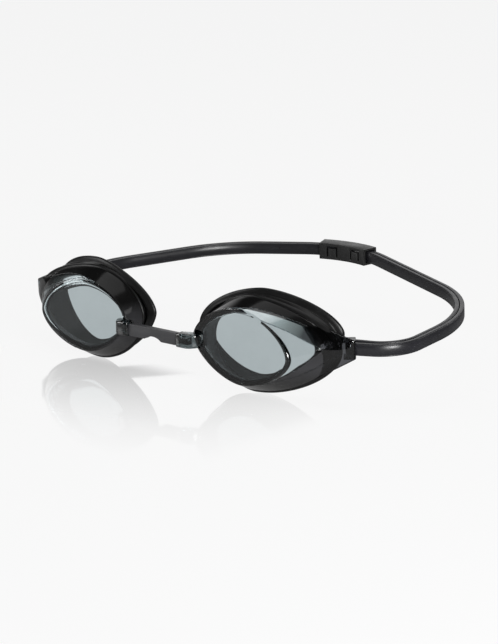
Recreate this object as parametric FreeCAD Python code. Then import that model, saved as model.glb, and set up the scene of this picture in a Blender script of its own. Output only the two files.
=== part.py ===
import FreeCAD, Part
import math
import os

# Swim goggles. Millimetres. +Z is up, the lens fronts face -Y and the head strap runs back to +Y.
# The left side is the wearer's left, +X. Each cup is drawn about the centre of its flat lens front:
# u points to the temple, w points back to the face and v points up.

# Cup places
cup_half_spacing = 37.4
cup_height = 18.35

# Flat lens front, a pointed oval whose temple end dips
front_half_width = 21.4
front_half_height = 13.75
front_power = 1.667
front_tilt = -3.9

# Lens outline at the skirt depth, from which the walls are ruled
skirt_depth = 14.0
skirt_nasal = 21.1
skirt_temple = 35.5
skirt_up = 19.3
skirt_down = 20.3
skirt_power = 1.9
cup_cant = 3.0

# Lens walls and the rear rim, which bows round the face
front_wall = 2.0
side_wall = 1.8
rim_depth = 7.75
rim_bow = 137.0
lip_inset = 0.8
lip_height = 1.5

# Face gasket
face_centre_u = 2.5
face_centre_v = 4.1
face_nasal = 29.25
face_temple = 28.8
face_up = 15.4
face_down = 22.35
face_power = 1.69
face_low_power = 1.62
face_depth = 11.1
face_bow = 124.0
face_bow_u = -18.0
face_lip = 2.0
belt_proud = 0.4
belt_depth = 1.6
belt_end_u = 23.0
sleeve_start = 8.5
sleeve_end = 20.0
sleeve_inset = 0.8
sleeve_temple_reach = 5.0
sleeve_face_inset = 2.6
opening_inset = 6.5
rebate_clearance = 0.05

# Nose bridge and its sockets
bridge_y = -2.4
bridge_drop = 0.7
bridge_thickness = 2.6
pad_radius = 2.2
pad_setback = 5.5
pad_centre_x = cup_half_spacing - front_half_width - pad_setback
pad_foot = 4.0
waist_height = 3.0
tongue_height = 2.2
tongue_thickness = 1.6
tongue_length = 3.6
pad_clearance = 0.2
tongue_clearance = 0.15
swing_clearance = 0.6
socket_mouth = 1.2
socket_height = 5.2
socket_thickness = 4.0
socket_reach = 4.0
socket_root = cup_half_spacing - front_half_width + socket_reach

# Strap section, which the arm and the clip fit round
run_thickness = 1.7
run_gap = 0.15
strap_height = 4.5

# Temple arm and the post that carries the strap
arm_angle = 36.0
post_reach = 0.3
post_x = cup_half_spacing + skirt_temple + post_reach
post_y = 18.4
post_lift = 2.1
post_radius = 0.8
post_clearance = 0.08
arm_web = 0.85
arm_play = 0.3
arm_end_height = strap_height + 2 * (arm_web + arm_play)
arm_skin = 1.0
arm_skin_clearance = 0.3
skin_setback = 0.3
arm_length = 15.5
arm_top_root = 8.8
arm_bottom_root = 10.5
arm_top = [(0.0, arm_end_height / 2), (-3.0, arm_end_height / 2 + 0.6), (-arm_length, arm_top_root)]
arm_bottom = [(-arm_length, -arm_bottom_root), (-arm_length + 4.5, -arm_bottom_root + 1.2),
              (-2.0, -arm_end_height / 2 - 0.8), (0.0, -arm_end_height / 2)]
arm_shelf = 2.2
arm_seal_clearance = 0.35

# Head strap: two silicone runs on each side, folded round the post
strap_rise = 3.0
strap_reach = 105.6
back_y = post_y + strap_reach
strap_corners = [(post_x + 16.5, post_y + 5.2), (post_x + 14.5, back_y - 45.5), (-3.8, back_y),
                 (-51.7, back_y - 25.5), (-post_x - 1.8, back_y - 72.3)]
strap_radii = [14.0, 54.0, 42.0, 50.0, 45.0]
apex = 2
post_straight = 2.6
post_blend_radius = 12.0
strap_end_gap = 2.0

# Rear clip, a curved sleeve over both strap ends
clip_length = 24.0
clip_web = 0.8
clip_inner_wall = 1.1
clip_outer_wall = 1.0
clip_clearance = 0.45
clip_height_clearance = 0.2
clip_height = strap_height + 2 * (clip_height_clearance + clip_web)
tab_offset = 6.0
tab_width = 3.4
tab_height = 4.2
tab_slot = 0.8

far = 60.0
outline_points = 40
origin = FreeCAD.Vector(0, 0, 0)
up = FreeCAD.Vector(0, 0, 1)
forward = FreeCAD.Vector(0, -1, 0)


def vector(x, y, z=0.0):
    return FreeCAD.Vector(x, y, z)


def signed_power(value, power):
    return math.copysign(abs(value) ** power, value)


def oval_point(angle, centre, nasal, temple, rise, drop, power, tilt):
    """A point of an egg-shaped superellipse in the (u, v) plane."""
    reach = temple if math.cos(angle) > 0 else nasal
    height = rise if math.sin(angle) > 0 else drop
    u = centre[0] + reach * signed_power(math.cos(angle), 2.0 / power)
    v = centre[1] + height * signed_power(math.sin(angle), 2.0 / power)
    turn = math.radians(tilt)
    return (u * math.cos(turn) - v * math.sin(turn), u * math.sin(turn) + v * math.cos(turn))


def outline_angles():
    return [2 * math.pi * (step + 0.5) / outline_points for step in range(outline_points)]


def closed_spline(points):
    curve = Part.BSplineCurve()
    curve.interpolate(points, PeriodicFlag=True)
    return Part.Wire([curve.toShape()])


def cup_point(u, w, v):
    return vector(cup_half_spacing + u, w, cup_height + v)


def lens_outline(depth, inset, temple_reach=0.0):
    """The lens outline at a depth behind its front, drawn in by an inset."""
    share = depth / skirt_depth
    points = []
    for angle in outline_angles():
        front = oval_point(angle, (0, 0), front_half_width - inset, front_half_width - inset,
                           front_half_height - inset, front_half_height - inset,
                           front_power, front_tilt)
        skirt = oval_point(angle, (0, 0), skirt_nasal - inset, skirt_temple + temple_reach - inset,
                           skirt_up - inset, skirt_down - inset, skirt_power, cup_cant)
        u = front[0] + share * (skirt[0] - front[0])
        v = front[1] + share * (skirt[1] - front[1])
        points.append(cup_point(u, depth, v))
    return closed_spline(points)


def face_outline(depth, inset):
    """The outline of the gasket where it meets the face."""
    points = []
    for angle in outline_angles():
        power = face_power if math.sin(angle) > 0 else face_low_power
        u, v = oval_point(angle, (face_centre_u, face_centre_v), face_nasal - inset,
                          face_temple - inset, face_up - inset, face_down - inset,
                          power, cup_cant)
        points.append(cup_point(u, depth, v))
    return closed_spline(points)


def ruled_solid(first, second):
    return Part.makeLoft([first, second], True, True)


def bow_cylinder(depth, radius, centre_u, shift=0.0):
    """The space behind a surface that bows round the face, moved back by a shift."""
    axis = vector(cup_half_spacing + centre_u, depth + radius, -far)
    return Part.makeCylinder(radius - shift, 3 * far, axis, up)


def rim_space(shift=0.0):
    return bow_cylinder(rim_depth, rim_bow, 0.0, shift)


def face_space(shift=0.0):
    return bow_cylinder(face_depth, face_bow, face_bow_u, shift)


def box(x, y, z):
    """A box from three (low, high) pairs."""
    return Part.makeBox(x[1] - x[0], y[1] - y[0], z[1] - z[0], vector(x[0], y[0], z[0]))


def centred(middle, size):
    return (middle - size / 2, middle + size / 2)


# The strap's own plane: it turns about the line through both posts.

post_z = cup_height + post_lift


def lift_strap(shape):
    shape.rotate(vector(0, post_y, post_z), vector(1, 0, 0), strap_rise)
    return shape


def arm_place(along, outward):
    """A point in the plan view, measured from the post along the arm and away from the face."""
    turn = math.radians(arm_angle)
    x = post_x + along * math.cos(turn) + outward * math.sin(turn)
    y = post_y + along * math.sin(turn) - outward * math.cos(turn)
    return x, y


def arm_plate(along, outward, low, high):
    """An upright block in the arm's own directions."""
    corners = [arm_place(along[0], outward[0]), arm_place(along[1], outward[0]),
               arm_place(along[1], outward[1]), arm_place(along[0], outward[1])]
    points = [vector(x, y, low) for x, y in corners]
    face = Part.Face(Part.makePolygon(points + [points[0]]))
    return face.extrude(vector(0, 0, high - low))


fold_inner = post_radius + post_clearance
fold_outer = fold_inner + run_thickness
skin_inner = fold_outer + arm_skin_clearance
skin_outer = skin_inner + arm_skin
end_low = post_z - arm_end_height / 2
end_high = post_z + arm_end_height / 2


def arm_side():
    """The arm seen from outside: its edges run in from the lens rim to the post."""
    inner = -post_radius - arm_web / 2
    points = []
    for along, height in arm_top + arm_bottom:
        x, y = arm_place(along, inner)
        points.append(vector(x, y, post_z + height))
    face = Part.Face(Part.makePolygon(points + [points[0]]))
    start = arm_place(0.0, inner)
    end = arm_place(0.0, skin_outer)
    plate = face.extrude(vector(end[0] - start[0], end[1] - start[1]))
    return plate.common(rim_space(-arm_shelf))


def temple_arm():
    """The arm's end: an outer skin, two webs and the upright post between them."""
    inner = -post_radius - arm_web / 2
    webs = arm_plate((-0.01, post_radius + arm_web / 2), (inner, skin_outer), end_low, end_high)
    arm = arm_side().fuse(webs)
    low = post_z - strap_height / 2 - arm_play
    height = strap_height + 2 * arm_play
    room = fold_outer + arm_skin_clearance
    pocket = Part.makeCylinder(room, height, vector(post_x, post_y, low), up)
    mouth = arm_plate((-skin_setback, far), (-far, far), low, low + height)
    inside = arm_plate((-room, 0.0), (-far, 0.0), low, low + height)
    post = Part.makeCylinder(post_radius, arm_end_height, vector(post_x, post_y, end_low), up)
    return lift_strap(arm.cut([pocket, mouth, inside]).fuse(post))


def bridge_z():
    return cup_height - bridge_drop


def nose_socket():
    """The block on the nasal side of the lens that takes one end of the nose bridge."""
    mouth_x = pad_centre_x + socket_mouth
    front = bridge_y - socket_thickness / 2
    back = bridge_y + socket_thickness / 2
    low = bridge_z() - socket_height / 2
    plan = [(mouth_x, front), (socket_root - 3.0, front), (socket_root, 0.05),
            (socket_root, front_wall), (socket_root - 5.0, front_wall), (mouth_x, back)]
    points = [vector(x, y, low) for x, y in plan]
    block = Part.Face(Part.makePolygon(points + [points[0]])).extrude(vector(0, 0, socket_height))
    pad = Part.makeCylinder(pad_radius + pad_clearance, far,
                            vector(pad_centre_x, bridge_y + far / 2, bridge_z()), forward)
    tongue_end = pad_centre_x + pad_radius + tongue_length
    pocket = box((pad_centre_x, tongue_end + pad_clearance),
                 centred(bridge_y, tongue_thickness + 2 * swing_clearance),
                 centred(bridge_z(), tongue_height + 2 * tongue_clearance))
    return block.cut([pad, pocket])


def lens_cavity():
    reach = 3 * skirt_depth
    return ruled_solid(lens_outline(front_wall, side_wall), lens_outline(reach, side_wall))


def lens_block():
    """The lens as if solid, up to its rear rim."""
    reach = 1.5 * skirt_depth
    return ruled_solid(lens_outline(0.0, 0.0), lens_outline(reach, 0.0)).cut(rim_space())


def lens_shell():
    """The moulded cup with its wall, its rear lip, its nose socket and its arm."""
    lip = ruled_solid(lens_outline(rim_depth / 2, lip_inset), lens_outline(1.5 * skirt_depth, lip_inset))
    lip = lip.cut(rim_space(lip_height))
    cavity = lens_cavity()
    cup = lens_block().fuse(lip).cut(cavity)
    inside = cavity.cut(rim_space())
    arm = temple_arm().cut([inside, seal_body(arm_seal_clearance)])
    return cup.fuse([arm, nose_socket().cut(inside)])


def seal_body(grow):
    """The gasket's outer form as a solid: a belt by the lens rim, a sleeve and a wide lip."""
    reach = 1.8 * skirt_depth
    belt = ruled_solid(lens_outline(rim_depth / 2, -belt_proud - grow),
                       lens_outline(reach, -belt_proud - grow))
    belt = belt.common(rim_space()).cut(rim_space(belt_depth + grow))
    belt = belt.common(box((0.0, cup_half_spacing + belt_end_u - arm_seal_clearance + grow),
                           (0.0, far), (-far, far)))
    sleeve = ruled_solid(lens_outline(sleeve_start, sleeve_inset - grow, sleeve_temple_reach),
                         face_outline(sleeve_end, sleeve_face_inset - grow))
    sleeve = sleeve.common(rim_space())
    lip = ruled_solid(face_outline(0.0, -grow), face_outline(reach, -grow))
    lip = lip.common(face_space(-face_lip - grow))
    return belt.fuse([sleeve, lip]).cut(face_space(grow))


def face_gasket():
    """The soft seal, open in the middle, with a rebate for the rear lip of the lens."""
    reach = 1.8 * skirt_depth
    inset = lip_inset - rebate_clearance
    rebate = ruled_solid(lens_outline(rim_depth / 2, inset), lens_outline(reach, inset))
    rebate = rebate.cut(rim_space(lip_height + rebate_clearance))
    opening = ruled_solid(lens_outline(rim_depth / 2, side_wall), face_outline(reach, opening_inset))
    front = ruled_solid(lens_outline(0.0, -0.02), lens_outline(reach, -0.02)).cut(rim_space())
    return seal_body(0.0).cut([rebate, opening, front])


def nose_bridge():
    """A soft dog-bone bar with a straight top, an arched underside and two tongues."""
    z = bridge_z()
    y = bridge_y - bridge_thickness / 2
    top = z + pad_radius
    bottom = z - pad_radius
    end = pad_centre_x
    right_cap = Part.Arc(vector(end, y, top), vector(end + pad_radius, y, z), vector(end, y, bottom))
    left_cap = Part.Arc(vector(-end, y, bottom), vector(-end - pad_radius, y, z),
                        vector(-end, y, top))
    arch = Part.Arc(vector(pad_foot, y, bottom), vector(0, y, top - waist_height),
                    vector(-pad_foot, y, bottom))
    edges = [Part.makeLine(vector(-end, y, top), vector(end, y, top)), right_cap.toShape(),
             Part.makeLine(vector(end, y, bottom), vector(pad_foot, y, bottom)), arch.toShape(),
             Part.makeLine(vector(-pad_foot, y, bottom), vector(-end, y, bottom)),
             left_cap.toShape()]
    bar = Part.Face(Part.Wire(edges)).extrude(vector(0, bridge_thickness, 0))
    tip = end + pad_radius + tongue_length
    tongue = box((-tip, tip), centred(bridge_y, tongue_thickness), centred(z, tongue_height))
    middle = box((-end, end), centred(bridge_y, tongue_thickness), centred(z, tongue_height))
    return bar.fuse(tongue.cut(middle))


# The strap path in plan: straight runs joined by tangent arcs.

def turn_at(points, index):
    before = points[index] - points[index - 1]
    after = points[index + 1] - points[index]
    return math.atan2(before.x * after.y - before.y * after.x, before.dot(after))


def offset_points(points, distance):
    """The corner points of the same path, moved to its left by a distance."""
    moved = []
    for index, point in enumerate(points):
        before = points[max(index, 1)] - points[max(index, 1) - 1]
        after = points[min(index + 1, len(points) - 1)] - points[min(index, len(points) - 2)]
        first = vector(-before.y, before.x).normalize()
        second = vector(-after.y, after.x).normalize()
        middle = (first + second).normalize()
        moved.append(point + middle * (distance / middle.dot(first)))
    return moved


def rounded_path(points, radii, offset):
    """Lines and arcs along the path, at an offset to its left."""
    corners = offset_points(points, offset)
    edges = []
    start = corners[0]
    for index in range(1, len(corners) - 1):
        turn = turn_at(points, index)
        radius = radii[index - 1] - offset * math.copysign(1.0, turn)
        reach = radius * math.tan(abs(turn) / 2)
        back = (corners[index - 1] - corners[index]).normalize()
        ahead = (corners[index + 1] - corners[index]).normalize()
        first = corners[index] + back * reach
        last = corners[index] + ahead * reach
        inward = (back + ahead).normalize()
        depth = radius / math.cos(turn / 2) - radius
        edges.append(Part.makeLine(start, first))
        edges.append(Part.Arc(first, corners[index] + inward * depth, last).toShape())
        start = last
    edges.append(Part.makeLine(start, corners[-1]))
    return edges, corners[0], corners[-1]


def strap_centre_line():
    """The corner points of the whole loop, from the left post to the right post."""
    first = vector(post_x, post_y)
    last = vector(-post_x, post_y)
    corners = [vector(x, y) for x, y in strap_corners]
    lead_in = first + (corners[0] - first).normalize() * post_straight
    lead_out = last + (corners[-1] - last).normalize() * post_straight
    return first, lead_in, corners, lead_out, last


def strap_run(side):
    """One run of the doubled strap, from post to post. Side is 1 inside the loop and -1 outside."""
    first, lead_in, corners, lead_out, last = strap_centre_line()
    wide = side * (fold_inner + fold_outer) / 2
    close = side * (run_gap + run_thickness) / 2
    path = [first] + corners + [last]
    narrow = offset_points(path, close)
    ends = offset_points([first, lead_in], wide) + narrow[1:-1] + offset_points([lead_out, last], wide)
    turns = [math.copysign(1.0, turn_at(path, index + 1)) for index in range(len(corners))]
    bends = [radius - close * turn for radius, turn in zip(strap_radii, turns)]
    radii = [post_blend_radius] + bends + [post_blend_radius]
    outer = rounded_path(ends, radii, run_thickness / 2)
    inner = rounded_path(ends, radii, -run_thickness / 2)
    caps = [Part.makeLine(outer[1], inner[1]), Part.makeLine(outer[2], inner[2])]
    wire = Part.Wire(Part.__sortEdges__(outer[0] + inner[0] + caps))
    return upright(Part.Face(wire), strap_height)


def upright(face, height):
    face.translate(vector(0, 0, post_z - height / 2))
    return face.extrude(vector(0, 0, height))


def strap_fold(post, towards):
    """The half ring of strap round a post, open towards the run."""
    heading = math.degrees(math.atan2(towards.y - post.y, towards.x - post.x))
    base = vector(post.x, post.y, post_z - strap_height / 2)
    ring = Part.makeCylinder(fold_outer, strap_height, base, up, 180)
    ring = ring.cut(Part.makeCylinder(fold_inner, strap_height, base, up))
    ring.rotate(base, up, heading + 90)
    return ring


def apex_geometry():
    """The centre of the arc over the back of the head and the heading of its middle."""
    first, lead_in, corners, lead_out, last = strap_centre_line()
    before = (corners[apex - 1] - corners[apex]).normalize()
    after = (corners[apex + 1] - corners[apex]).normalize()
    inward = (before + after).normalize()
    turn = turn_at(corners, apex)
    centre = corners[apex] + inward * (strap_radii[apex] / math.cos(turn / 2))
    heading = math.degrees(math.atan2(-inward.y, -inward.x))
    return centre, heading


def strap_halves():
    """Both sides of the strap, parted under the clip."""
    first, lead_in, corners, lead_out, last = strap_centre_line()
    loop = strap_run(1).fuse([strap_run(-1), strap_fold(first, lead_in), strap_fold(last, lead_out)])
    centre, heading = apex_geometry()
    gap = box((0.0, far), centred(0.0, strap_end_gap), (-far, far))
    gap.rotate(origin, up, heading)
    gap.translate(centre)
    parts = loop.cut(gap).removeSplitter().Solids
    left = Part.Compound([part for part in parts if side_of(part, centre, heading) < 0])
    right = Part.Compound([part for part in parts if side_of(part, centre, heading) > 0])
    return lift_strap(left), lift_strap(right)


def side_of(part, centre, heading):
    turn = math.radians(heading)
    offset = part.CenterOfMass - centre
    return offset.y * math.cos(turn) - offset.x * math.sin(turn)


def clip_sector(inner, outer, height, length):
    """A curved block about the apex centre, lying along the strap."""
    centre, heading = apex_geometry()
    angle = math.degrees(length / strap_radii[apex])
    base = vector(centre.x, centre.y, post_z - height / 2)
    sector = Part.makeCylinder(outer, height, base, up, angle)
    sector = sector.cut(Part.makeCylinder(inner, height, base, up))
    sector.rotate(base, up, heading - angle / 2)
    return sector


def tab_cuts(offset, wall_inner, wall_outer):
    """The n-shaped cut that frees one gripping tab of the clip."""
    centre, heading = apex_geometry()
    depth = (wall_inner - 1.0, wall_outer)
    half = tab_width / 2
    top = post_z + tab_height / 2
    upright_cut = (post_z - tab_height / 2, top)
    cuts = [box(depth, (-half - tab_slot, -half), upright_cut),
            box(depth, (half, half + tab_slot), upright_cut),
            box(depth, (-half - tab_slot, half + tab_slot), (top - tab_slot, top))]
    angle = heading + math.degrees(offset / strap_radii[apex])
    for cut in cuts:
        cut.rotate(origin, up, angle)
        cut.translate(centre)
    return cuts


def rear_clip():
    """A curved sleeve over both strap ends, with two gripping tabs on the head side."""
    band_half = run_gap / 2 + run_thickness
    cavity_inner = strap_radii[apex] - band_half - clip_clearance
    cavity_outer = strap_radii[apex] + band_half + clip_clearance
    wall_inner = cavity_inner - clip_inner_wall
    body = clip_sector(wall_inner, cavity_outer + clip_outer_wall, clip_height, clip_length)
    cavity = clip_sector(cavity_inner, cavity_outer, strap_height + 2 * clip_height_clearance,
                         clip_length + 2.0)
    cuts = tab_cuts(-tab_offset, wall_inner, strap_radii[apex])
    cuts += tab_cuts(tab_offset, wall_inner, strap_radii[apex])
    return lift_strap(body.cut([cavity] + cuts))


def mirrored(shape):
    return shape.mirror(origin, vector(1, 0, 0))


def build():
    lens = lens_shell()
    gasket = face_gasket()
    left_strap, right_strap = strap_halves()
    return {
        "left_lens": lens,
        "right_lens": mirrored(lens),
        "left_gasket": gasket,
        "right_gasket": mirrored(gasket),
        "nose_bridge": nose_bridge(),
        "left_strap": left_strap,
        "right_strap": right_strap,
        "rear_clip": rear_clip(),
    }


def write(nodes):
    """Sets the origin under the middle of the goggles and writes one file per node."""
    whole = Part.Compound(list(nodes.values())).optimalBoundingBox(False)
    shift = vector(-(whole.XMin + whole.XMax) / 2, -(whole.YMin + whole.YMax) / 2, -whole.ZMin)
    os.makedirs("parts", exist_ok=True)
    for name, shape in nodes.items():
        shape.translate(shift)
        shape.exportStep("parts/" + name + ".step")
        print(name, len(shape.Solids), shape.isValid(), round(shape.Volume, 1))
    print("shift", shift, "size", whole.XLength, whole.YLength, whole.ZLength)
    centre, heading = apex_geometry()
    print("apex centre", centre + shift, "heading", heading)


write(build())
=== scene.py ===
import math
import bpy
import bmesh
from mathutils import Vector, Matrix


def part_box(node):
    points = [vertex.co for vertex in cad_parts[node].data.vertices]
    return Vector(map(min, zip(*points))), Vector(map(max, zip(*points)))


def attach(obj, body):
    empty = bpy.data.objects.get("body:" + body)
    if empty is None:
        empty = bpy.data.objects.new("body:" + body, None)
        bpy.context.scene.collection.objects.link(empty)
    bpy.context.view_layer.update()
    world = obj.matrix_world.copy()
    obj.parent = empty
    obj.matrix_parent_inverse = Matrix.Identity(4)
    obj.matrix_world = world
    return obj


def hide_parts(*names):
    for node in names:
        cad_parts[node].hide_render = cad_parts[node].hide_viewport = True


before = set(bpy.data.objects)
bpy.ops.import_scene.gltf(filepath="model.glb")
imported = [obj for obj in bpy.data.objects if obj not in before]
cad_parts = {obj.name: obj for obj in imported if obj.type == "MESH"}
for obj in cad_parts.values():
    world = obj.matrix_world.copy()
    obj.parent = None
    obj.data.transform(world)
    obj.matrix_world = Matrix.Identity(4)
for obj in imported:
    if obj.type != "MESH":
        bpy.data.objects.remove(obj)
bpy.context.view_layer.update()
MM = 0.001

# ---------------------------------------------------------------- sizes, in millimetres, as in the CAD
CUP_X, CUP_Z = 37.4, 18.35
FRONT_W, FRONT_H, FRONT_POWER, FRONT_TILT = 21.4, 13.75, 1.667, -3.9
SKIRT_DEPTH, SKIRT_POWER, CANT = 14.0, 1.9, 3.0
SKIRT = (21.1, 35.5, 19.3, 20.3)
RIM_DEPTH, RIM_BOW = 7.75, 137.0
FACE_CENTRE = (2.5, 4.1)
FACE = (29.25, 28.8, 15.4, 22.35)
FACE_POWER, FACE_LOW_POWER = 1.69, 1.62
FACE_DEPTH, FACE_BOW, FACE_BOW_U = 11.1, 124.0, -18.0
POST = (73.2, 18.4)
POST_Z = CUP_Z + 2.1
RUN, RUN_GAP, STRAP_H, RISE = 1.7, 0.15, 4.5, 3.0
FOLD_INNER = 0.88
CORNERS = [(89.7, 23.6), (87.7, 78.5), (-3.8, 124.0), (-51.7, 98.5), (-75.0, 51.7)]
RADII = [14.0, 54.0, 42.0, 50.0, 45.0]
APEX = 2
POST_STRAIGHT, POST_BLEND = 2.6, 12.0
ARM_ANGLE, SKIN_OUTER, ARM_HALF = 36.0, 3.88, 3.4
STRAP_END_GAP = 2.0
BRIDGE_Y, BRIDGE_Z = -2.4, CUP_Z - 0.7
CUP_STEPS, SEAL_STEPS = 160, 120            # slices round a lens cup and round a face gasket
GLASS = 1.8                                 # the lens's own thickness

bridge_low, bridge_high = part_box("nose_bridge")
ORIGIN = (Vector(bridge_low) + Vector(bridge_high)) / 2 - Vector((0.0, BRIDGE_Y, BRIDGE_Z)) * MM


def place(x, y, z):
    """A point given in the CAD's own millimetres, put in the frame."""
    return ORIGIN + Vector((x, y, z)) * MM


# ---------------------------------------------------------------- camera
AZ, EL, ROLL = math.radians(39.4246), math.radians(14.5688), math.radians(-0.4323)
DISTANCE, RIGHT_SHIFT, UP_SHIFT = 805.93, 32.144, 20.296
FOCUS_PIXELS, IMAGE_HEIGHT = 2222.9, 644.0
back = Vector((math.sin(AZ) * math.cos(EL), -math.cos(AZ) * math.cos(EL), math.sin(EL)))
right = Vector((math.cos(AZ), math.sin(AZ), 0.0))
over = back.cross(right)
cam_data = bpy.data.cameras.new("camera")
cam_data.sensor_width = 36.0
cam_data.lens = cam_data.sensor_width * FOCUS_PIXELS / IMAGE_HEIGHT
cam_data.clip_end = 20.0
cam = bpy.data.objects.new("camera", cam_data)
bpy.context.scene.collection.objects.link(cam)
spot = back * DISTANCE + right * RIGHT_SHIFT + over * UP_SHIFT + Vector((0.0, 0.453, 0.272))
cam_x = right * math.cos(ROLL) + over * math.sin(ROLL)
cam_y = over * math.cos(ROLL) - right * math.sin(ROLL)
turn = Matrix((cam_x, cam_y, back)).transposed().to_4x4()
cam.matrix_world = Matrix.Translation(place(*spot)) @ turn
bpy.context.scene.camera = cam


# ---------------------------------------------------------------- materials
PLASTIC_IOR = 1.49


def new_material(name):
    mat = bpy.data.materials.new(name)
    mat.use_nodes = True
    nodes = mat.node_tree.nodes
    return mat, nodes, mat.node_tree.links, nodes["Principled BSDF"]


def add(nodes, kind, **inputs):
    node = nodes.new(kind)
    for key, value in inputs.items():
        node.inputs[key.replace("_", " ")].default_value = value
    return node


def noise(nodes, links, scale, detail=4.0, rough=0.55):
    """Noise in the object's own coordinates, which are metres."""
    coords = nodes.new("ShaderNodeTexCoord")
    node = add(nodes, "ShaderNodeTexNoise", Scale=scale, Detail=detail, Roughness=rough)
    links.new(coords.outputs["Object"], node.inputs["Vector"])
    return node


def ramp(nodes, links, source, stops):
    node = nodes.new("ShaderNodeValToRGB")
    links.new(source, node.inputs["Fac"])
    elements = node.color_ramp.elements
    while len(elements) < len(stops):
        elements.new(0.5)
    for element, (position, colour) in zip(elements, stops):
        element.position = position
        element.color = (*colour, 1.0)
    return node


def roughness(nodes, links, bsdf, source, stops):
    """Uneven gloss: roughness read off a noise."""
    finish = ramp(nodes, links, source, [(position, grey(value)) for position, value in stops])
    links.new(finish.outputs["Color"], bsdf.inputs["Roughness"])


def bump(nodes, links, bsdf, source, strength, distance):
    lump = add(nodes, "ShaderNodeBump", Strength=strength, Distance=distance)
    links.new(source, lump.inputs["Height"])
    links.new(lump.outputs["Normal"], bsdf.inputs["Normal"])


def combine(nodes, links, operation, first, second):
    """A Math node over two values, each a socket or a number."""
    node = nodes.new("ShaderNodeMath")
    node.operation = operation
    for socket, value in zip(node.inputs, (first, second)):
        if isinstance(value, (int, float)):
            socket.default_value = value
        else:
            links.new(value, socket)
    return node


def object_axes(nodes, links):
    """The object's own coordinates, taken apart."""
    coords = nodes.new("ShaderNodeTexCoord")
    parts = nodes.new("ShaderNodeSeparateXYZ")
    links.new(coords.outputs["Object"], parts.inputs[0])
    return parts.outputs


def fade(nodes, links, source, start, stop, low=0.0, high=1.0):
    """A smooth step between two places, from one value to another."""
    node = nodes.new("ShaderNodeMapRange")
    node.interpolation_type = "SMOOTHSTEP"
    links.new(source, node.inputs["Value"])
    for name, value in (("From Min", start), ("From Max", stop), ("To Min", low), ("To Max", high)):
        node.inputs[name].default_value = value
    return node.outputs["Result"]


def grey(value):
    return (value, value, value)


def soft_material(name, dark, light, rough, grain=2500.0, height=0.00002, gloss=0.5):
    """A moulded silicone or rubber: faint mottling, a satin finish and a fine moulded grain."""
    mat, nodes, links, bsdf = new_material(name)
    blotch = noise(nodes, links, 90.0, 5.0)
    colour = ramp(nodes, links, blotch.outputs["Fac"], [(0.3, dark), (0.75, light)])
    links.new(colour.outputs["Color"], bsdf.inputs["Base Color"])
    smear = noise(nodes, links, 260.0, 6.0, 0.65)
    roughness(nodes, links, bsdf, smear.outputs["Fac"], [(0.3, rough[0]), (0.72, rough[1])])
    fine = noise(nodes, links, grain, 3.0)
    bump(nodes, links, bsdf, fine.outputs["Fac"], 0.35, height)
    bsdf.inputs["IOR"].default_value = 1.43
    bsdf.inputs["Specular IOR Level"].default_value = gloss
    return mat


def smoke_material(name, clear, cloudy, rough=(0.012, 0.035)):
    """Smoke-tinted clear plastic, with the faintest mould ripple and handling marks in its gloss."""
    mat, nodes, links, bsdf = new_material(name)
    bsdf.inputs["Transmission Weight"].default_value = 1.0
    bsdf.inputs["IOR"].default_value = PLASTIC_IOR
    haze = noise(nodes, links, 140.0, 6.0, 0.6)
    tint = ramp(nodes, links, haze.outputs["Fac"], [(0.2, cloudy), (0.8, clear)])
    links.new(tint.outputs["Color"], bsdf.inputs["Base Color"])
    roughness(nodes, links, bsdf, haze.outputs["Fac"], [(0.35, rough[0]), (0.8, rough[1])])
    ripple = noise(nodes, links, 60.0, 2.0)
    bump(nodes, links, bsdf, ripple.outputs["Fac"], 0.05, 0.00003)
    return mat


def painted_light_material(name, axis, stops, clear, rough, gloss):
    """Smoke plastic over the dark seal, its tint run out from the middle (X) or up (Z) as painted
    light, shade and reflection.
    """
    mat, nodes, links, bsdf = new_material(name)
    source = object_axes(nodes, links)[axis]
    if axis == "X":
        centred = combine(nodes, links, "SUBTRACT", source, ORIGIN.x)
        source = combine(nodes, links, "ABSOLUTE", centred.outputs[0], 0.0).outputs[0]
    span = nodes.new("ShaderNodeMapRange")
    links.new(source, span.inputs["Value"])
    low, high = stops[0][0], stops[-1][0]
    span.inputs["From Min"].default_value = low * MM
    span.inputs["From Max"].default_value = high * MM
    tint = ramp(nodes, links, span.outputs["Result"], [((x - low) / (high - low), c) for x, c in stops])
    links.new(tint.outputs["Color"], bsdf.inputs["Base Color"])
    smear = noise(nodes, links, 180.0, 5.0, 0.6)
    roughness(nodes, links, bsdf, smear.outputs["Fac"], [(0.35, rough[0]), (0.8, rough[1])])
    bsdf.inputs["Transmission Weight"].default_value = clear
    bsdf.inputs["IOR"].default_value = PLASTIC_IOR
    bsdf.inputs["Specular IOR Level"].default_value = gloss
    return mat


# Tints over the cup's wall, as (millimetres out from the middle or up, colour): the facet's pale tint
# is a painted reflection, and the wall's runs are painted light and shade.
# Painted reflection: the facet's smoke tint is pale near the middle, where a softbox's reflection
# falls, and runs dark towards the temple.
FACET_PAINTED_REFLECTION = [(30, (0.70, 0.75, 0.77)), (47, (0.62, 0.70, 0.72)), (52, (0.22, 0.28, 0.285)),
              (56, (0.10, 0.125, 0.125)), (61, (0.008, 0.009, 0.010))]
# Painted light and shade: the wall's dark smoke tint is lighter low down and near black over the top,
# as light falls on it.
WALL_PAINTED_SHADE = [(0, (0.014, 0.0135, 0.0125)), (14, (0.030, 0.030, 0.032)), (21, (0.018, 0.018, 0.019)),
             (25, (0.004, 0.004, 0.004)), (38, (0.003, 0.003, 0.003))]

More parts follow.
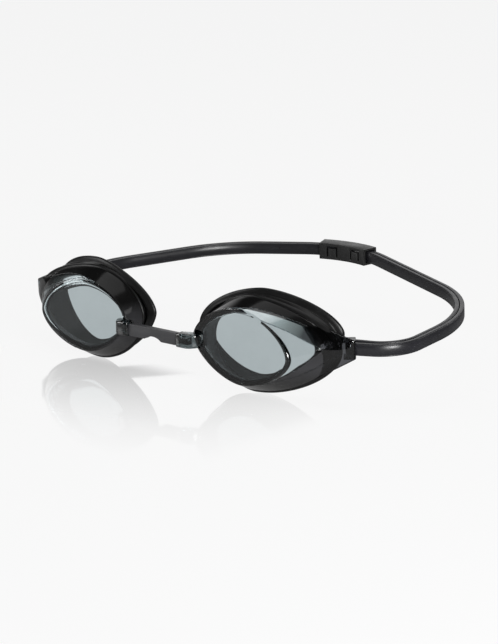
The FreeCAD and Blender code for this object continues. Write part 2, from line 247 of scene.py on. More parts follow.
GASKET_MAT = soft_material("gasket_silicone", grey(0.004), grey(0.008), (0.26, 0.40), gloss=0.22)
FACET_PAINTED_REFLECTION_MAT = painted_light_material("smoke_facet_painted_reflection", "X", FACET_PAINTED_REFLECTION, 1.0, (0.02, 0.05), 0.5)
WALL_PAINTED_SHADE_MAT = painted_light_material("smoke_wall_painted_shade", "Z", WALL_PAINTED_SHADE, 0.0, (0.10, 0.16), 0.09)
STRAP_MAT = soft_material("strap_silicone", (0.0085, 0.0085, 0.010), (0.0135, 0.0135, 0.016),
                          (0.27, 0.38), grain=5000.0, height=0.0000015, gloss=0.42)
BRIDGE_MAT = soft_material("bridge_rubber", (0.028, 0.028, 0.030), (0.042, 0.042, 0.045),
                           (0.34, 0.48), height=0.00001)
CLIP_MAT = soft_material("clip_plastic", grey(0.008), grey(0.014), (0.32, 0.46), grain=4000.0)
LINER_MAT = soft_material("gasket_lining", (0.030, 0.030, 0.034), (0.043, 0.043, 0.048),
                          (0.50, 0.62), height=0.000004, gloss=0.2)
LENS_MAT = smoke_material("smoke_lens", (0.43, 0.49, 0.505), (0.40, 0.455, 0.47))
ARM_MAT = smoke_material("smoke_arm", (0.075, 0.078, 0.086), (0.060, 0.063, 0.070), (0.03, 0.07))
SOCKET_MAT = smoke_material("smoke_socket", (0.085, 0.107, 0.112), (0.07, 0.088, 0.092))
EDGE_MAT = smoke_material("smoke_edge", (0.030, 0.034, 0.034), (0.022, 0.025, 0.025))


# ---------------------------------------------------------------- mesh helpers
def make_object(name, verts, faces, mat, body):
    """A smooth-shaded piece that rides on a body."""
    mesh = bpy.data.meshes.new(name)
    mesh.from_pydata([tuple(v) for v in verts], [], faces)
    mesh.update()
    bm = bmesh.new()
    bm.from_mesh(mesh)
    bmesh.ops.recalc_face_normals(bm, faces=bm.faces)
    bm.to_mesh(mesh)
    bm.free()
    for polygon in mesh.polygons:
        polygon.use_smooth = True
    mesh.materials.append(mat)
    obj = bpy.data.objects.new(name, mesh)
    bpy.context.scene.collection.objects.link(obj)
    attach(obj, body)
    return obj


def grid_faces(rows, columns, close_rows=False):
    """Faces between rows of points. Each row is a loop, and the rows can close as well."""
    faces = []
    for i in range(rows if close_rows else rows - 1):
        for j in range(columns):
            a = i * columns + j
            b = i * columns + (j + 1) % columns
            c = ((i + 1) % rows) * columns + (j + 1) % columns
            d = ((i + 1) % rows) * columns + j
            faces.append((a, b, c, d))
    return faces


def bevel(obj, width):
    """Rounded edges, the width in millimetres."""
    modifier = obj.modifiers.new("edge", "BEVEL")
    modifier.width = width * MM
    modifier.segments = 3
    modifier.harden_normals = True
    return modifier


def bevelled_copy(node, name, mat, body, width):
    """A rounded copy of a CAD node."""
    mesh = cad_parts[node].data.copy()
    bm = bmesh.new()
    bm.from_mesh(mesh)
    bmesh.ops.remove_doubles(bm, verts=bm.verts, dist=1e-6)
    bmesh.ops.dissolve_limit(bm, angle_limit=math.radians(1.0), verts=bm.verts, edges=bm.edges)
    bm.to_mesh(mesh)
    bm.free()
    mesh.materials.clear()
    mesh.materials.append(mat)
    obj = bpy.data.objects.new(name, mesh)
    bpy.context.scene.collection.objects.link(obj)
    modifier = bevel(obj, width)
    modifier.limit_method = "ANGLE"
    modifier.angle_limit = math.radians(35.0)
    for polygon in mesh.polygons:
        polygon.use_smooth = True
    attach(obj, body)
    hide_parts(node)


# ---------------------------------------------------------------- cup outlines, as in the CAD
def signed_power(value, power):
    return math.copysign(abs(value) ** power, value)


def oval(angle, centre, extents, power, tilt):
    """A point of a tilted oval with its own reach on each of its four sides."""
    nasal, temple, rise, drop = extents
    reach = temple if math.cos(angle) > 0 else nasal
    height = rise if math.sin(angle) > 0 else drop
    u = centre[0] + reach * signed_power(math.cos(angle), 2.0 / power)
    v = centre[1] + height * signed_power(math.sin(angle), 2.0 / power)
    a = math.radians(tilt)
    return u * math.cos(a) - v * math.sin(a), u * math.sin(a) + v * math.cos(a)


def inset_all(extents, inset):
    return tuple(value - inset for value in extents)


def lens_outline(angle, depth, inset=0.0):
    """The lens cup's outline at a depth: from the flat front's oval to the skirt's."""
    share = depth / SKIRT_DEPTH
    front = oval(angle, (0, 0), inset_all((FRONT_W, FRONT_W, FRONT_H, FRONT_H), inset), FRONT_POWER,
                 FRONT_TILT)
    skirt = oval(angle, (0, 0), inset_all(SKIRT, inset), SKIRT_POWER, CANT)
    return front[0] + share * (skirt[0] - front[0]), front[1] + share * (skirt[1] - front[1])


def rim_point(angle, inset=0.0, behind=0.0):
    """A point of the lens outline on the rim surface, moved back by a distance."""
    depth = 9.0
    for _ in range(6):
        u, v = lens_outline(angle, depth, inset)
        depth = RIM_DEPTH + RIM_BOW - math.sqrt(RIM_BOW ** 2 - u * u) + behind
    return u, depth, v


def face_point(angle, inset=0.0, ahead=0.0):
    """A point of the gasket's face outline on the face surface, moved forward by a distance."""
    power = FACE_POWER if math.sin(angle) > 0 else FACE_LOW_POWER
    u, v = oval(angle, FACE_CENTRE, inset_all(FACE, inset), power, CANT)
    depth = FACE_DEPTH + FACE_BOW - math.sqrt(FACE_BOW ** 2 - (u - FACE_BOW_U) ** 2)
    return u, depth - ahead, v


def between(a, b, share):
    return tuple(p + share * (q - p) for p, q in zip(a, b))


def round_angle(step, steps):
    return 2 * math.pi * (step + 0.5) / steps


def cup_place(side, point):
    """A point given across, behind and above the lens front's middle, on either cup."""
    u, w, v = point
    return place(side * (CUP_X + u), w, CUP_Z + v)


# ---------------------------------------------------------------- face gaskets
def gasket_profile(angle):
    """One slice of the seal, from the lens rim round the face lip and back inside."""
    rib = [between(rim_point(angle, a, b), face_point(angle, c, d), e) for a, b, c, d, e in
           ((0.55, 1.9, 2.2, 2.6, 0.20), (0.15, 2.0, 1.7, 2.8, 0.38), (0.10, 2.0, 1.6, 2.8, 0.56),
            (0.6, 2.1, 2.1, 2.6, 0.70), (1.2, 2.2, 2.7, 2.5, 0.80))]
    mid_in = between(rim_point(angle, 2.4, 1.6), face_point(angle, 6.4, 1.6), 0.5)
    return [
        rim_point(angle, 0.6, 0.05), rim_point(angle, 0.05, 0.06), rim_point(angle, -0.28, 0.30),
        rim_point(angle, -0.34, 0.80), rim_point(angle, -0.22, 1.25), rim_point(angle, 0.35, 1.50),
        rim_point(angle, 0.90, 1.75), *rib, face_point(angle, 2.6, 2.35), face_point(angle, 2.1, 2.05),
        face_point(angle, 1.0, 1.95), face_point(angle, 0.25, 1.65), face_point(angle, 0.0, 1.05),
        face_point(angle, 0.22, 0.40), face_point(angle, 0.9, 0.05), face_point(angle, 2.4, 0.0),
        face_point(angle, 4.4, 0.15), face_point(angle, 5.8, 0.50), face_point(angle, 6.4, 1.10),
        mid_in, rim_point(angle, 2.5, 1.2), rim_point(angle, 2.2, 0.30), rim_point(angle, 1.9, 0.06),
        rim_point(angle, 1.2, 0.05),
    ]


def build_gasket(side, name, node, body):
    """The soft face seal, one closed ring."""
    verts = []
    for step in range(SEAL_STEPS):
        verts += [cup_place(side, point) for point in gasket_profile(round_angle(step, SEAL_STEPS))]
    faces = grid_faces(SEAL_STEPS, len(verts) // SEAL_STEPS, close_rows=True)
    obj = make_object(name, verts, faces, GASKET_MAT, body)
    modifier = obj.modifiers.new("smooth", "SUBSURF")
    modifier.levels = modifier.render_levels = 1
    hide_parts(node)


# ---------------------------------------------------------------- head strap
def flat(x, y):
    return Vector((x, y, 0.0))


def turn_at(points, index):
    """The turn of the line at a corner, positive to the left."""
    before = points[index] - points[index - 1]
    after = points[index + 1] - points[index]
    return math.atan2(before.x * after.y - before.y * after.x, before.dot(after))


def offset_points(points, distance):
    """The same corners moved to the left by a distance."""
    moved = []
    for index, point in enumerate(points):
        before = points[max(index, 1)] - points[max(index, 1) - 1]
        after = points[min(index + 1, len(points) - 1)] - points[min(index, len(points) - 2)]
        first = flat(-before.y, before.x).normalized()
        second = flat(-after.y, after.x).normalized()
        halfway = (first + second).normalized()
        moved.append(point + halfway * (distance / halfway.dot(first)))
    return moved


def path_pieces(corners, radii):
    """Lines and tangent arcs as (start, end, centre, angle) pieces."""
    pieces = []
    start = corners[0]
    for index in range(1, len(corners) - 1):
        angle = turn_at(corners, index)
        radius = radii[index - 1]
        reach = radius * math.tan(abs(angle) / 2)
        backward = (corners[index - 1] - corners[index]).normalized()
        ahead = (corners[index + 1] - corners[index]).normalized()
        first = corners[index] + backward * reach
        last = corners[index] + ahead * reach
        inward = (backward + ahead).normalized()
        centre = corners[index] + inward * (radius / math.cos(angle / 2))
        pieces.append((start, first, None, 0.0))
        pieces.append((first, last, centre, angle))
        start = last
    pieces.append((start, corners[-1], None, 0.0))
    return pieces


def sample(pieces):
    """Even points along the pieces, about a millimetre apart."""
    points = []
    for start, end, centre, angle in pieces:
        length = (end - start).length if centre is None else abs(angle) * (start - centre).length
        steps = max(1, math.ceil(length))
        for step in range(steps):
            share = step / steps
            if centre is None:
                points.append(start.lerp(end, share))
            else:
                spoke = Matrix.Rotation(angle * share, 3, "Z") @ (start - centre)
                points.append(centre + spoke)
    points.append(pieces[-1][1])
    return points


def run_points(offset):
    """The middle line of one strap run, from post to post."""
    first, last = flat(*POST), flat(-POST[0], POST[1])
    corners = [flat(*corner) for corner in CORNERS]
    lead_in = first + (corners[0] - first).normalized() * POST_STRAIGHT
    lead_out = last + (corners[-1] - last).normalized() * POST_STRAIGHT
    wide = offset * (FOLD_INNER + RUN / 2)
    close = offset * (RUN_GAP + RUN) / 2
    narrow = offset_points([first] + corners + [last], close)
    ends = offset_points([first, lead_in], wide) + narrow[1:-1] + offset_points([lead_out, last], wide)
    radii = [POST_BLEND]
    for index in range(len(CORNERS)):
        turning = turn_at([first] + corners + [last], index + 1)
        radii.append(RADII[index] - close * math.copysign(1.0, turning))
    radii.append(POST_BLEND)
    return sample(path_pieces(ends, radii))


def apex_frame():
    """The centre of the bend that the clip sits on, and the way out from it."""
    corners = [flat(*corner) for corner in CORNERS]
    before = (corners[APEX - 1] - corners[APEX]).normalized()
    after = (corners[APEX + 1] - corners[APEX]).normalized()
    inward = (before + after).normalized()
    angle = turn_at(corners, APEX)
    centre = corners[APEX] + inward * (RADII[APEX] / math.cos(angle / 2))
    return centre, -inward


def band_path(side):
    """The middle line of one whole band: out along its inner run, round the post and back."""
    centre, outward = apex_frame()
    across = flat(-outward.y, outward.x)
    inner, outer = run_points(1), run_points(-1)
    if side < 0:
        inner, outer = list(reversed(inner)), list(reversed(outer))
    keep = []
    for points in (inner, outer):
        kept = []
        for point in points:
            lateral = (point - centre).dot(across)
            behind = (point - centre).dot(outward)
            if behind > 0 and lateral * side > -STRAP_END_GAP / 2:
                break
            kept.append(point)
        keep.append(kept)
    post = flat(side * POST[0], POST[1])
    start = keep[0][0] - post
    fold = [post + Matrix.Rotation(side * math.pi * step / 12, 3, "Z") @ start
            for step in range(1, 12)]
    return list(reversed(keep[0])) + fold + keep[1]


def band_section():
    """Across and up: a rounded band with a fine groove near each edge of both faces."""
    half, top = RUN / 2, STRAP_H / 2
    corner = [(half, top - 0.70), (half - 0.12, top - 0.57), (half, top - 0.43),
              (half - 0.05, top - 0.20), (half - 0.22, top - 0.05), (half - 0.5, top)]
    upper = corner + [(-across, rise) for across, rise in reversed(corner)]
    return upper + [(-across, -rise) for across, rise in upper]


def lifted(x, y, z):
    """The strap's plane rises to the back about the line through both posts."""
    a = math.radians(RISE)
    dy, dz = y - POST[1], z - POST_Z
    return place(x, POST[1] + dy * math.cos(a) - dz * math.sin(a),
                 POST_Z + dy * math.sin(a) + dz * math.cos(a))


def build_band(side, name, node, body):
    """One side of the strap: the section swept along the whole band."""
    path = band_path(side)
    clean = [path[0]]
    for point in path[1:]:
        if (point - clean[-1]).length > 0.15:
            clean.append(point)
    shape = band_section()
    count = len(shape)
    verts = []
    for index, point in enumerate(clean):
        ahead = clean[min(index + 1, len(clean) - 1)] - clean[max(index - 1, 0)]
        normal = flat(-ahead.y, ahead.x).normalized()
        for across, rise in shape:
            spot = point + normal * across
            verts.append(lifted(spot.x, spot.y, POST_Z + rise))
    faces = grid_faces(len(clean), count)
    faces.append(tuple(reversed(range(count))))
    faces.append(tuple(range((len(clean) - 1) * count, len(clean) * count)))
    obj = make_object(name, verts, faces, STRAP_MAT, body)
    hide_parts(node)


# ---------------------------------------------------------------- lens cups
def mesh_from_rings(rings):
    """Vertices and faces of loops joined one to the next, with a middle point capping each end."""
    count = len(rings[0])
    verts = [point for ring in rings for point in ring]
    faces = grid_faces(len(rings), count)
    verts.append(sum((Vector(p) for p in rings[0]), Vector()) / count)
    faces += [(len(verts) - 1, (j + 1) % count, j) for j in range(count)]
    base = (len(rings) - 1) * count
    verts.append(sum((Vector(p) for p in rings[-1]), Vector()) / count)
    faces += [(len(verts) - 1, base + j, base + (j + 1) % count) for j in range(count)]
    return verts, faces


def build_rings(name, rings, mat):
    """A closed smoke-plastic piece of a cup, made from loops."""
    verts, faces = mesh_from_rings(rings)
    return make_object(name, verts, faces, mat, name.split("_")[0] + "_cup")


def front_point(angle, scale, depth):
    """A point on the flat front's plane or behind it, its outline scaled."""
    u, v = lens_outline(angle, 0.0)
    return u * scale, depth, v * scale


def wall_point(angle, depth, inset=0.0):
    """A point on the cup's wall at a depth, moved inwards by an inset."""
    u, v = lens_outline(angle, depth, inset)
    return u, depth, v


# Lines on the wall, as (degrees round the cup, depth behind the lens front).
UPPER_CREASE = [(62, 0.15), (53, 1.2), (36, 3.6), (22, 5.7), (9, 8.4), (-2, 10.8)]
LOWER_CREASE = [(-62, 0.15), (-48, 1.6), (-35, 3.9), (-22, 7.0), (-12, 9.6), (-5, 10.9)]
TOP_CREASE = [(122, 0.15), (93, 0.9), (74, 3.1), (60, 4.9), (46, 6.6), (34, 8.6)]
WINDOW_TOP = UPPER_CREASE[:0:-1] + [(62, 0.5), (122, 0.5)]
FACET_TOP = ([(-30, 0.5), (-10, 4.0), (8, 9.6), (22, 9.2)] + TOP_CREASE[:1:-1]
             + [(93, 1.2), (120, 0.55)])
LINING_EDGE = [(-60, 0.9), (-48, 1.2), (-35, 2.1), (-23, 3.7), (-12, 5.4), (1, 7.4), (11, 8.2),
               (22, 8.6), (34, 8.3), (46, 6.6), (60, 4.9), (74, 3.3), (92, 1.5), (112, 0.9)]
# Loops of the lens shell's profile: its front edge, the window's end, the facet's end, the rear rim.
EDGE_RING, WINDOW_RING, FACET_RING, RIM_RING = 6, 11, 14, 20


def stepped(stops, degrees):
    """A value read off a line of (degrees, value) stops, flat beyond both ends."""
    if degrees <= stops[0][0]:
        return stops[0][1]
    for (a0, d0), (a1, d1) in zip(stops, stops[1:]):
        if degrees <= a1:
            return d0 + (d1 - d0) * (degrees - a0) / (a1 - a0)
    return stops[-1][1]


def turned(angle):
    """The angle in degrees, from -180 to 180."""
    return math.degrees(math.atan2(math.sin(angle), math.cos(angle)))


def lining_depth(angle):
    """How deep behind the lens front the dark lining starts, evened out along the edge."""
    spread = [stepped(LINING_EDGE, turned(angle + math.radians(k * 2.0))) for k in range(-3, 4)]
    return sum(spread) / len(spread)


def wall_bounds(angle):
    """Where the side window ends and the long facet above it ends, as depths behind the front."""
    window = min(max(lining_depth(angle) - 0.9, 0.5), stepped(WINDOW_TOP, turned(angle)))
    return window, max(stepped(FACET_TOP, turned(angle)), window + 0.05)


def lens_profile(angle):
    """One slice of the cup: the flat front, its crisp edge, the wall, the rear rim and the inside."""
    rim = rim_point(angle)[1]
    edge = 0.35
    window, facet = wall_bounds(angle)
    points = [front_point(angle, scale, 0.0) for scale in (0.1, 0.3, 0.5, 0.7, 0.85, 0.94)]
    points += [wall_point(angle, 0.0, 0.45), wall_point(angle, 0.06, 0.16), wall_point(angle, edge)]
    for start, stop, count in ((edge, window, 3), (window, facet, 3), (facet, rim - 0.4, 4)):
        points += [wall_point(angle, start + (stop - start) * step / count)
                   for step in range(1, count + 1)]
    points += [rim_point(angle, inset, behind) for inset, behind in
               ((0.03, -0.2), (0.18, -0.03), (0.45, 0.0), (1.4, 0.0), (1.7, -0.08), (1.8, -0.4))]
    points += [wall_point(angle, 3.0 + (rim - 3.6) * (6 - step) / 6, GLASS) for step in range(1, 7)]
    points += [wall_point(angle, 2.3, 2.1), wall_point(angle, 1.95, 2.7), wall_point(angle, 1.85, 3.4)]
    points += [front_point(angle, scale, GLASS) for scale in (0.75, 0.6, 0.4, 0.2, 0.08)]
    return points


def build_lens(side, word):
    """The cup's shell: clear front and side window, a facet tinted pale as a painted reflection, and a
    wall dark from the seal with painted shade over its top and painted light low down.
    """
    slices = []
    for step in range(CUP_STEPS):
        slices.append([cup_place(side, point) for point in lens_profile(round_angle(step, CUP_STEPS))])
    obj = build_rings(word + "_lens_shell", list(zip(*slices)), LENS_MAT)
    obj.data.materials.append(FACET_PAINTED_REFLECTION_MAT)
    obj.data.materials.append(WALL_PAINTED_SHADE_MAT)
    for polygon in obj.data.polygons:
        ring = min(index // CUP_STEPS for index in polygon.vertices)
        window, facet = wall_bounds(round_angle(polygon.vertices[0] % CUP_STEPS, CUP_STEPS))
        plain_wall = window < 0.7 and facet < 0.8
        # The rear wall takes the painted-shade material, and the facet band takes the
        # painted-reflection one.
        if FACET_RING <= ring <= RIM_RING or (plain_wall and EDGE_RING <= ring < FACET_RING):
            polygon.material_index = 2
        elif WINDOW_RING <= ring < FACET_RING:
            polygon.material_index = 1
    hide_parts(word + "_lens")


def smooth_line(points, steps):
    """A smooth line through a few points (Catmull-Rom)."""
    ends = [points[0]] + list(points) + [points[-1]]
    line = []
    for index in range(1, len(ends) - 2):
        p0, p1, p2, p3 = (Vector(ends[index + k]) for k in (-1, 0, 1, 2))
        for step in range(steps):
            t = step / steps
            line.append(0.5 * (2 * p1 + (p2 - p0) * t + (2 * p0 - 5 * p1 + 4 * p2 - p3) * t * t
                               + (3 * p1 - p0 - 3 * p2 + p3) * t ** 3))
    line.append(Vector(ends[-2]))
    return line


def tube(line, radius, sides=8):
    """The loops of a tube along the points, thinner at both ends."""
    rings = []
    for index, point in enumerate(line):
        ahead = (line[min(index + 1, len(line) - 1)] - line[max(index - 1, 0)]).normalized()
        first = ahead.orthogonal().normalized()
        second = ahead.cross(first)
        share = min(index, len(line) - 1 - index) / 4.0
        size = radius * min(1.0, 0.25 + share)
        rings.append([point + (first * math.cos(a) + second * math.sin(a)) * size
                      for a in (2 * math.pi * k / sides for k in range(sides))])
    return rings


def build_creases(side, word):
    """The three fine raised lines along the facets of the wall."""
    for name, crease in (("upper", UPPER_CREASE), ("lower", LOWER_CREASE), ("top", TOP_CREASE)):
        line = smooth_line([Vector((angle, depth, 0.0)) for angle, depth in crease], 12)
        points = [cup_place(side, wall_point(math.radians(p.x), p.y, 0.06)) for p in line]
        build_rings("%s_lens_%s_crease" % (word, name), tube(points, 0.17 * MM), LENS_MAT)


def build_step(side, word):
    """The low dark step between the flat front and the side window."""
    rings = []
    steps = 60
    for step in range(steps + 1):
        share = step / steps
        angle = math.radians(-72.0 + 132.0 * share)
        width = 0.10 + 0.95 * math.sin(math.pi * share) ** 0.8
        rings.append([cup_place(side, wall_point(angle, depth, inset)) for depth, inset in
                      ((0.02, 0.02), (0.06, -0.05), (width - 0.04, -0.07), (width, 0.02),
                       (width - 0.05, 0.8), (0.05, 0.8))])
    build_rings(word + "_lens_step", rings, EDGE_MAT)


def lining_profile(angle):
    """The gasket's thin sleeve inside the lens wall."""
    start = max(lining_depth(angle) + 1.0, 2.5)
    length = rim_point(angle)[1] + 0.9 - start
    out = [wall_point(angle, start + 0.12 + length * k / 6, 1.92) for k in range(7)]
    back = [wall_point(angle, start + 0.12 + length * (6 - k) / 6, 2.62) for k in range(7)]
    return [wall_point(angle, start, 2.1)] + out + back + [wall_point(angle, start, 2.44)]


def build_lining(side, word):
    verts = []
    for step in range(CUP_STEPS):
        verts += [cup_place(side, point) for point in lining_profile(round_angle(step, CUP_STEPS))]
    faces = grid_faces(CUP_STEPS, len(verts) // CUP_STEPS, close_rows=True)
    make_object(word + "_gasket_lining", verts, faces, LINER_MAT, word + "_cup")


# ---------------------------------------------------------------- temple arms
def arm_place(side, along, outward, rise):
    """A point by the post, along the arm, away from the face and up, on the strap's tilted plane."""
    a = math.radians(ARM_ANGLE)
    x = POST[0] + along * math.cos(a) + outward * math.sin(a)
    y = POST[1] + along * math.sin(a) - outward * math.cos(a)
    return lifted(side * x, y, POST_Z + rise)


def build_arm(side, word):
    """A tapering plate from the lens rim to the post, and the line near its end."""
    rows, columns = 18, 14
    lean = math.radians(ARM_ANGLE)
    away = Vector((side * math.sin(lean), -math.cos(lean), 0.0))
    sheets = []
    for thickness in (0.0, 0.85):
        sheet = []
        for row in range(rows + 1):
            share = row / rows
            angle = math.radians(-33.0 + 83.0 * share)
            edge = min(share, 1 - share) * rows
            round_in = 0.30 * max(0.0, 1 - edge / 1.5) ** 2
            depth = rim_point(angle)[1] * (0.72 + 0.28 * abs(2 * share - 1) ** 2)
            root = cup_place(side, wall_point(angle, depth, thickness * 1.2 - 0.02))
            rise = (2 * share - 1) * (ARM_HALF - 0.05)
            outward = SKIN_OUTER - thickness * 0.62 - (round_in if thickness == 0 else -round_in)
            tip = arm_place(side, 1.0, outward, rise)
            middle = root.lerp(tip, 0.52) + away * (0.75 - 0.2 * thickness) * MM
            line = []
            for column in range(columns + 1):
                t = column / columns
                line.append(root * (1 - t) ** 2 + middle * 2 * t * (1 - t) + tip * t * t)
            sheet.append(line)
        sheets.append(sheet)
    loops = []
    for column in range(columns + 1):
        outer = [sheets[0][row][column] for row in range(rows + 1)]
        inner = [sheets[1][row][column] for row in range(rows, -1, -1)]
        loops.append(outer + inner)
    build_rings(word + "_temple_arm", loops, ARM_MAT)
    line = [arm_place(side, -0.7, SKIN_OUTER + 0.10, -3.2 + 0.32 * k) for k in range(21)]
    build_rings(word + "_arm_line", tube(line, 0.16 * MM), LENS_MAT)


def arm_box(side, word, name, low, high):
    """A box of the arm given by two corners by the post, with rounded edges."""
    corners = [(x, y, z) for x in (low[0], high[0]) for y in (low[1], high[1])
               for z in (low[2], high[2])]
    faces = [(0, 1, 3, 2), (4, 6, 7, 5), (0, 4, 5, 1), (2, 3, 7, 6), (0, 2, 6, 4), (1, 5, 7, 3)]
    obj = make_object("%s_arm_web_%s" % (word, name), [arm_place(side, *corner) for corner in corners],
                      faces, ARM_MAT, word + "_cup")
    bevel(obj, 0.3)


def build_post(side, word):
    """The arm's two webs, and the slightly waisted post between them."""
    for name, sign in (("top", 1), ("bottom", -1)):
        low, high = sorted((sign * (ARM_HALF - 0.85), sign * ARM_HALF))
        arm_box(side, word, name, (-3.2, -1.2, low), (1.15, SKIN_OUTER - 0.35, high))
    rings = []
    for rise, radius in ((-2.9, 0.8), (-2.4, 0.8), (-1.2, 0.77), (0, 0.76), (1.2, 0.77), (2.4, 0.8),
                         (2.9, 0.8)):
        rings.append([arm_place(side, radius * math.cos(a), radius * math.sin(a), rise)
                      for a in (2 * math.pi * k / 24 for k in range(24))])
    build_rings(word + "_strap_post", rings, ARM_MAT)


# ---------------------------------------------------------------- nose sockets
def section(y0, y1, z0, z1, radius):
    """A rounded rectangle in the y and z plane."""
    points = []
    for cy, cz, start in ((y1 - radius, z1 - radius, 0), (y0 + radius, z1 - radius, 90),
                          (y0 + radius, z0 + radius, 180), (y1 - radius, z0 + radius, 270)):
        for k in range(5):
            a = math.radians(start + 90.0 * k / 4)
            points.append((cy + radius * math.cos(a), cz + radius * math.sin(a)))
    return points


def build_socket(side, word):
    """A small tunnel of clear plastic that takes the tongue of the nose bridge."""
    # Sections as (out from the middle, front, back, half height, corner radius).
    inside = [(16.35, -3.75, -1.05, 1.2, 0.3), (16.2, -3.8, -1.0, 1.25, 0.3),
              (13.5, -3.8, -1.0, 1.25, 0.3), (12.9, -3.85, -0.95, 2.1, 0.4),
              (11.8, -3.9, -0.9, 2.2, 0.5)]
    outside = [(11.7, -4.25, -0.55, 2.42, 0.5), (11.95, -4.4, -0.4, 2.6, 0.7),
               (13.6, -4.4, 0.5, 2.6, 0.8), (16.0, -4.35, 1.5, 2.6, 0.8), (17.4, -4.0, 1.75, 2.5, 0.8),
               (18.8, -2.5, 1.8, 2.4, 0.7), (19.9, -0.6, 1.7, 2.2, 0.5)]
    rings = []
    for x, y0, y1, half, radius in inside + outside:
        loop = section(y0, y1, BRIDGE_Z - half, BRIDGE_Z + half, radius)
        rings.append([place(side * x, y, z) for y, z in loop])
    build_rings(word + "_nose_socket", rings, SOCKET_MAT)


# ---------------------------------------------------------------- the pieces
for side, word in ((1, "left"), (-1, "right")):
    build_gasket(side, word + "_gasket_skin", word + "_gasket", word + "_cup")
    build_band(side, word + "_strap_band", word + "_strap", word + "_band")
    build_lens(side, word)
    build_creases(side, word)
    build_step(side, word)
    build_lining(side, word)
    build_arm(side, word)
    build_post(side, word)
    build_socket(side, word)
bevelled_copy("nose_bridge", "nose_bridge_bar", BRIDGE_MAT, "bridge", 0.45)
bevelled_copy("rear_clip", "rear_clip_sleeve", CLIP_MAT, "clip", 0.22)


# ---------------------------------------------------------------- studio
BACKDROP = 0.936
WHITE = (1.0, 1.0, 1.0, 1.0)


def seen_rays(nodes, links):
    """The light path, and 1 for camera and transmission rays but 0 for the rest."""
    path = nodes.new("ShaderNodeLightPath")
    seen = combine(nodes, links, "MAXIMUM", path.outputs["Is Camera Ray"],
                   path.outputs["Is Transmission Ray"])
    return path.outputs, seen.outputs[0]


def mixed(nodes, links, weight, first, second):
    node = nodes.new("ShaderNodeMixShader")
    links.new(weight, node.inputs["Fac"])
    links.new(first.outputs[0], node.inputs[1])
    links.new(second.outputs[0], node.inputs[2])
    return node


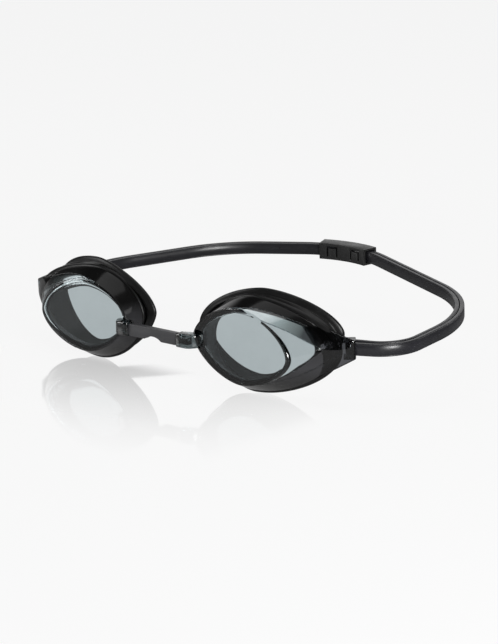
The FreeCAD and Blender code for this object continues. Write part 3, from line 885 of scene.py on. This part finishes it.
def build_floor(half=6.0):
    """A pale floor: it glows at the backdrop's level, keeps some shadow and mirrors the cups."""
    mesh = bpy.data.meshes.new("floor")
    mesh.from_pydata([(-half, -half, 0), (half, -half, 0), (half, half, 0), (-half, half, 0)], [],
                     [(0, 1, 2, 3)])
    floor = bpy.data.objects.new("floor", mesh)
    bpy.context.scene.collection.objects.link(floor)
    floor.location = (0, 0, -0.0003)
    mat = bpy.data.materials.new("floor")
    mat.use_nodes = True
    nodes, links = mat.node_tree.nodes, mat.node_tree.links
    nodes.clear()
    path, seen = seen_rays(nodes, links)
    diffuse = add(nodes, "ShaderNodeBsdfDiffuse", Color=(0.82, 0.82, 0.82, 1.0))
    glow = add(nodes, "ShaderNodeEmission", Color=WHITE, Strength=BACKDROP)
    looked_at = combine(nodes, links, "MAXIMUM", seen, path["Is Glossy Ray"])
    level = combine(nodes, links, "MULTIPLY", looked_at.outputs[0], 0.95)
    body = mixed(nodes, links, level.outputs[0], diffuse, glow)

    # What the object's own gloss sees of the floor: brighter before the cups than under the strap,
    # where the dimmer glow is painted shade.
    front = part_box("left_lens")[0][1]
    x, y = object_axes(nodes, links)["X"], object_axes(nodes, links)["Y"]
    glow_with_painted_shade = add(nodes, "ShaderNodeEmission", Color=WHITE)
    links.new(fade(nodes, links, y, front + 0.030, front - 0.005, 0.22, 0.60), glow_with_painted_shade.inputs["Strength"])
    mirror_only = combine(nodes, links, "SUBTRACT", path["Is Glossy Ray"], path["Is Transmission Ray"])
    mirror_only.use_clamp = True
    floor_with_painted_shade_glow = mixed(nodes, links, mirror_only.outputs[0], body, glow_with_painted_shade)

    # The floor's own gloss mirrors the ground before the cups, fading forwards and to the sides.
    weight = add(nodes, "ShaderNodeFresnel", IOR=1.8).outputs[0]
    for limit in (fade(nodes, links, y, front - 0.085, front + 0.012, 0.0, 1.36),
                  fade(nodes, links, y, front + 0.022, front + 0.007),
                  fade(nodes, links, x, 0.074, 0.058), fade(nodes, links, x, -0.090, -0.074),
                  fade(nodes, links, x, 0.110, -0.045)):
        weight = combine(nodes, links, "MULTIPLY", weight, limit).outputs[0]
    gloss = add(nodes, "ShaderNodeBsdfGlossy", Color=WHITE, Roughness=0.05)
    top = mixed(nodes, links, weight, floor_with_painted_shade_glow, gloss)
    links.new(top.outputs[0], nodes.new("ShaderNodeOutputMaterial").inputs["Surface"])
    mesh.materials.append(mat)


def build_world():
    """A plain soft room: pale where it is looked at, and to gloss pale only low at the back."""
    world = bpy.data.worlds.new("world")
    bpy.context.scene.world = world
    world.use_nodes = True
    nodes, links = world.node_tree.nodes, world.node_tree.links
    nodes.clear()
    path, seen = seen_rays(nodes, links)
    coords = nodes.new("ShaderNodeTexCoord")
    away = nodes.new("ShaderNodeVectorMath")
    away.operation = "DOT_PRODUCT"
    links.new(coords.outputs["Generated"], away.inputs[0])
    away.inputs[1].default_value = (-back.x, -back.y, 0.12)
    ambient = add(nodes, "ShaderNodeBackground", Color=WHITE, Strength=0.30)
    shown = add(nodes, "ShaderNodeBackground", Color=WHITE, Strength=BACKDROP)
    mirrored = add(nodes, "ShaderNodeBackground", Color=WHITE)
    links.new(fade(nodes, links, away.outputs["Value"], 0.84, 0.93, 0.03, BACKDROP),
              mirrored.inputs["Strength"])
    unseen = mixed(nodes, links, path["Is Glossy Ray"], ambient, mirrored)
    room = mixed(nodes, links, seen, unseen, shown)
    links.new(room.outputs[0], nodes.new("ShaderNodeOutputWorld").inputs["Surface"])


def softbox(name, spot, aim, size, power):
    data = bpy.data.lights.new(name, "AREA")
    data.shape = "RECTANGLE"
    data.size, data.size_y = size
    data.energy = power
    lamp = bpy.data.objects.new(name, data)
    bpy.context.scene.collection.objects.link(lamp)
    lamp.location = spot
    lamp.rotation_euler = (Vector(aim) - Vector(spot)).to_track_quat("-Z", "Y").to_euler()


build_floor()
build_world()
softbox("top_light", (0.0, 0.05, 0.75), (0.0, 0.0, 0.0), (0.7, 0.5), 2.3)
softbox("left_light", (-0.7, -0.45, 0.35), (0.0, 0.0, 0.02), (0.35, 0.5), 3.2)
softbox("right_light", (0.52, -0.30, 0.16), (0.080, 0.01, 0.018), (0.25, 0.16), 4.5)
softbox("back_light", (0.35, 0.8, 0.45), (0.0, 0.0, 0.02), (0.6, 0.2), 1.4)

bpy.context.scene.view_settings.view_transform = "Standard"
